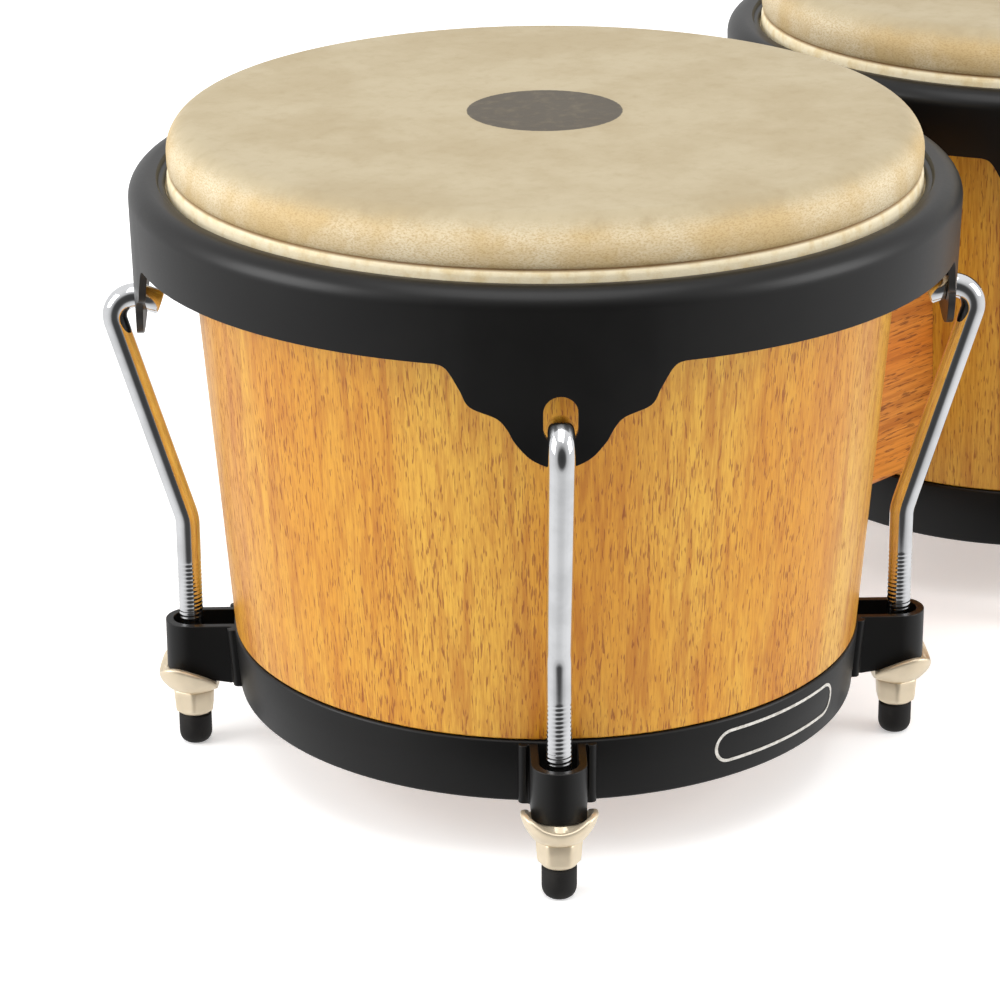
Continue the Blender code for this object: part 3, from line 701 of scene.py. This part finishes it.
def rod_rings(rod_r):
    """A round bar along the rod's line, with a screw thread cut into its lower part."""
    line = rod_line()
    rings = []
    for i, (out, z) in enumerate(line):
        before = line[max(i - 1, 0)]
        after = line[min(i + 1, len(line) - 1)]
        ahead = Vector((after[0] - before[0], 0, after[1] - before[1])).normalized()
        inward = Vector((ahead.z, 0, -ahead.x))
        ring = []
        for k in range(BAR_SIDES):
            turn = 2 * math.pi * k / BAR_SIDES
            phase = (z / PITCH - k / BAR_SIDES) % 1.0
            cut = THREAD_DEPTH * abs(2 * phase - 1) if THREAD_LOW <= z <= THREAD_TOP else 0.0
            spread = inward * math.cos(turn) + Vector((0, 1, 0)) * math.sin(turn)
            ring.append(Vector((rod_r + out, 0, z)) + spread * (ROD_R - cut))
        rings.append(ring)
    low, low_full = chamfered(rings[0], (rings[1][0] - rings[0][0]).normalized())
    tip, tip_full = chamfered(rings[-1], (rings[-2][0] - rings[-1][0]).normalized())
    return [low, low_full, *rings[1:-1], tip_full, tip]


chrome = plated_steel("chrome", tint(240, 241, 243), 0.055)
for drum in DRUMS:
    for number, azimuth in enumerate(AZIMUTHS, 1):
        rod = lofted(f"{drum.name}_rod_{number}", rod_rings(drum.rod_r), chrome, capped=True, sharp=50)
        fit(rod, drum.axis, azimuth, f"{drum.name}_head", "chrome", f"{drum.name}_tuning_rod_{number}")


# Dish washers. Under each bracket lies a saddle-shaped cup of cast steel, high beside the strap and low in
# front. Its round base takes the nut. It is plated with warm satin nickel, like the nut.

# Half of each outline in plan, from the front round to the back, in millimetres from the rod. The rim's last
# number is its height above the tray.
TRAY = (
    (7.8, 0.0),
    (7.2, 3.0),
    (5.5, 5.5),
    (3.0, 7.2),
    (0.0, 7.8),
    (-3.0, 7.8),
    (-5.4, 7.8),
    (-6.3, 7.8),
    (-6.3, 0.0),
)
RIM = (
    (10.0, 0.0, -1.5),
    (9.6, 4.4, -0.5),
    (8.2, 8.0, 1.8),
    (5.0, 10.1, 3.0),
    (1.4, 10.5, 2.8),
    (-2.6, 10.3, 2.0),
    (-6.0, 9.4, 0.9),
    (-7.2, 8.8, 0.0),
    (-7.2, 0.0, 0.0),
)
DISH_Z = 17.6 * MM
BASE_R = 7.2 * MM
BASE_EDGE = 0.35 * MM
BORE = ROD_R + SEAM
SPAN = 5  # steps from one point of an outline to the next
DISH_STEPS = SPAN * 2 * (len(RIM) - 1)
BULGE = 0.05


def smoothed(half):
    """A closed outline from its half, drawn smooth through the points as far as the straight back."""
    points = [Vector((*point, 0.0)[:3]) * MM for point in half]
    points += [Vector((p.x, -p.y, p.z)) for p in reversed(points[1:-1])]
    count = len(points)
    back = count // 2
    curve = []
    for k in range(count):
        a, b, c, d = (points[(k + i) % count] for i in (-1, 0, 1, 2))
        if k == back - 2:
            d = 2 * c - b
        if k == back + 1:
            a = 2 * b - c
        for i in range(SPAN):
            t = i / SPAN
            curve.append(b.lerp(c, t) if k in (back - 1, back) else between(a, b, c, d, t))
    return curve


def on_tray(points):
    """Puts points at their height above the tilted tray that the strap sits on."""
    return [Vector((p.x, p.y, p.z + STRAP_FOOT - SEAM + STRAP_SLOPE * p.x)) for p in points]


def rim_ring(share, below):
    """The rim's outline at a share of its size, and this far below its top."""
    return on_tray(Vector((p.x * share, p.y * share, p.z - below * MM)) for p in smoothed(RIM))


def body_ring(share):
    """Between the rim's lower edge, at 0, and the base, at 1. The wall bulges a little."""
    pairs = zip(circle(BASE_R, DISH_Z, DISH_STEPS), rim_ring(0.985, 1.5))
    wide = 1 + BULGE * math.sin(math.pi * share)
    return [Vector(low).lerp(high, 1 - share) * Vector((wide, wide, 1)) for low, high in pairs]


nickel = plated_steel("nickel", tint(234, 218, 190), 0.29, metallic=0.62)
dish_rings = [
    on_tray(Vector(point) for point in circle(BORE, 0.0, DISH_STEPS)),
    on_tray(smoothed(TRAY)),
    rim_ring(0.88, -0.05),
    rim_ring(0.93, 0.0),
    rim_ring(0.975, 0.15),
    rim_ring(0.997, 0.5),
    rim_ring(0.997, 1.0),
    *(body_ring(share) for share in (0.0, 0.25, 0.5, 0.75, 0.92)),
    [Vector(point) for point in circle(BASE_R - BASE_EDGE, DISH_Z, DISH_STEPS)],
    [Vector(point) for point in circle(BORE, DISH_Z, DISH_STEPS)],
]
for drum in DRUMS:
    shift = Vector((drum.rod_r, 0, 0))
    for number, azimuth in enumerate(AZIMUTHS, 1):
        rings = [[point + shift for point in ring] for ring in dish_rings]
        dish = lofted(f"{drum.name}_dish_{number}", rings, nickel, sharp=50)
        fit(dish, drum.axis, azimuth, "frame", "nickel", f"{drum.name}_dish_washer_{number}")


# Tuning nuts. Each is a hexagon that narrows slightly downwards to a rounded end. It turns on the rod's
# thread and carries the rubber foot. It is plated with the same warm nickel as the dish washer.

NUT_TOP = 17.3 * MM
NUT_LOW = 9.5 * MM
NUT_STEPS = 72
NUT_CORNER = 0.555  # of its width across the flats, from its axis to a corner


def hexagon(flats, z):
    """Points round a hexagon with softened corners. One flat faces outwards."""
    points = []
    for i in range(NUT_STEPS):
        turn = 2 * math.pi * i / NUT_STEPS
        off_flat = (turn + math.pi / 6) % (math.pi / 3) - math.pi / 6
        radius = min(flats / 2 / math.cos(off_flat), flats * NUT_CORNER)
        points.append((radius * math.cos(turn), radius * math.sin(turn), z))
    return points


nut_rings = [
    circle(BORE, NUT_TOP - 0.4 * MM, NUT_STEPS),
    circle(BORE + 0.4 * MM, NUT_TOP, NUT_STEPS),
    circle(5.2 * MM, NUT_TOP, NUT_STEPS),
    hexagon(11.0 * MM, NUT_TOP - 0.15 * MM),
    hexagon(11.5 * MM, NUT_TOP - 0.55 * MM),
    hexagon(11.15 * MM, NUT_TOP - 3.4 * MM),
    hexagon(10.8 * MM, NUT_TOP - 6.1 * MM),
    hexagon(10.45 * MM, NUT_TOP - 6.9 * MM),
    circle(4.9 * MM, NUT_LOW + 0.25 * MM, NUT_STEPS),
    circle(4.6 * MM, NUT_LOW, NUT_STEPS),
    circle(BORE, NUT_LOW, NUT_STEPS),
]
for drum in DRUMS:
    for number, azimuth in enumerate(AZIMUTHS, 1):
        nut = lofted(f"{drum.name}_nut_hexagon_{number}", nut_rings, nickel, sharp=60)
        body = f"{drum.name}_nut_{number}"
        fit(nut, drum.rod_place(azimuth), azimuth, body, "nickel", f"{drum.name}_tuning_nut_{number}")


# Rubber feet. Each is a moulded cap of black rubber, pressed on under its nut. The rod's end stands free
# inside it.

FOOT_R = 4.8 * MM
FOOT_FLAT_R = 2.6 * MM
FOOT_ROUND = 3.2 * MM
FOOT_FLOOR = 3.6 * MM
FOOT_TOP = NUT_LOW - SEAM
FOOT_EDGE = 0.5 * MM

foot_finish = Finish("rubber", Specular_IOR_Level=0.3)
bloom = foot_finish.noise(foot_finish.spot, 6 * MM, 4.0)
grain = foot_finish.noise(foot_finish.spot, 0.5 * MM, 2.0)
rubber = foot_finish.feed(
    Base_Color=foot_finish.mix(bloom.step(0.35, 0.75), tint(24, 22, 21), tint(38, 36, 34)),
    Roughness=0.62 + bloom * 0.15,
    Normal=foot_finish.relief(grain, 0.02 * MM),
)
rounding = (
    (FOOT_FLAT_R + (FOOT_R - FOOT_FLAT_R) * math.cos(turn), FOOT_ROUND * (1 - math.sin(turn)))
    for turn in (0.3, 0.6, 0.9, 1.2, 1.57)
)
foot_profile = [
    (BORE, FOOT_FLOOR),
    (BORE, FOOT_TOP - 0.3 * MM),
    (BORE + 0.3 * MM, FOOT_TOP),
    (FOOT_R - FOOT_EDGE, FOOT_TOP),
    (FOOT_R, FOOT_TOP - FOOT_EDGE),
    (FOOT_R, FOOT_ROUND),
    *rounding,
]
for drum in DRUMS:
    for number, azimuth in enumerate(AZIMUTHS, 1):
        foot = turned(f"{drum.name}_foot_{number}", foot_profile, rubber, steps=40, capped=True, sharp=35)
        body = f"{drum.name}_nut_{number}"
        fit(foot, drum.rod_place(azimuth), 0, body, "rubber", f"{drum.name}_rubber_foot_{number}")


# Studio. The pair stands on a plain white floor under a soft white dome, which is darker behind the viewer,
# with a large soft box overhead and one on each side.

FLOOR_HALF = 6.0
FLOOR_Z = -0.2 * MM

paper = Finish("floor_paper", Roughness=0.9, Specular_IOR_Level=0.1, Emission_Strength=0.45)
white = paper.mix(paper.noise(paper.spot, 0.4, 2.0), tint(250, 250, 250), tint(247, 247, 247))
bm = bmesh.new()
for x, y in ((-1, -1), (1, -1), (1, 1), (-1, 1)):
    bm.verts.new((x * FLOOR_HALF, y * FLOOR_HALF, FLOOR_Z))
bm.faces.new(bm.verts)
floor = piece("floor", bm, paper.feed(Base_Color=white, Emission_Color=white))
floor.visible_glossy = False

DARK_SIDE = Vector((-0.7218, -0.6921, 0.0))
DOME_STOPS = ((0.0, 0.95), (0.42, 0.85), (0.72, 0.60), (0.88, 0.08), (1.0, 0.05))

world = bpy.data.worlds.new("studio_dome")
bpy.context.scene.world = world
world.use_nodes = True
dome = world.node_tree
way = dome.nodes.new("ShaderNodeTexCoord")
facing = dome.nodes.new("ShaderNodeVectorMath")
facing.operation = "DOT_PRODUCT"
facing.inputs[1].default_value = DARK_SIDE
shade = dome.nodes.new("ShaderNodeValToRGB")
while len(shade.color_ramp.elements) < len(DOME_STOPS):
    shade.color_ramp.elements.new(1.0)
for element, (position, level) in zip(shade.color_ramp.elements, DOME_STOPS):
    element.position = position
    element.color = (level, level, level, 1.0)
dome.links.new(way.outputs["Generated"], facing.inputs[0])
dome.links.new(facing.outputs["Value"], shade.inputs["Fac"])
dome.links.new(shade.outputs["Color"], dome.nodes["Background"].inputs["Color"])
dome.nodes["Background"].inputs["Strength"].default_value = 0.9


def soft_box(name, place, size, watts):
    """A square soft light that faces the drums."""
    light = bpy.data.lights.new(name, "AREA")
    light.size = size
    light.energy = watts
    lamp = bpy.data.objects.new(name, light)
    lamp.location = place
    lamp.rotation_euler = (Vector((0, 0, 0.1)) - Vector(place)).to_track_quat("-Z", "Y").to_euler()
    bpy.context.scene.collection.objects.link(lamp)


soft_box("overhead", (-0.5, -0.3, 1.8), 1.4, 14)
soft_box("left_side", (-1.35, 0.75, 0.7), 0.9, 14)
soft_box("right_side", (0.75, -1.35, 0.7), 0.9, 12)

lens = bpy.data.cameras.new("camera")
lens.sensor_width = 36
lens.lens = 131.55
lens.clip_start = 0.05
camera = bpy.data.objects.new("camera", lens)
stand = Matrix.Translation((-0.82691, -0.67071, 0.45529))
right = Vector((0.69038398, -0.72341632, -0.00622787))
up = Vector((0.26565542, 0.24549915, 0.9322861))
camera.matrix_world = stand @ Matrix((right, up, right.cross(up))).transposed().to_4x4()
bpy.context.scene.collection.objects.link(camera)
bpy.context.scene.camera = camera
bpy.context.scene.view_settings.view_transform = "Standard"
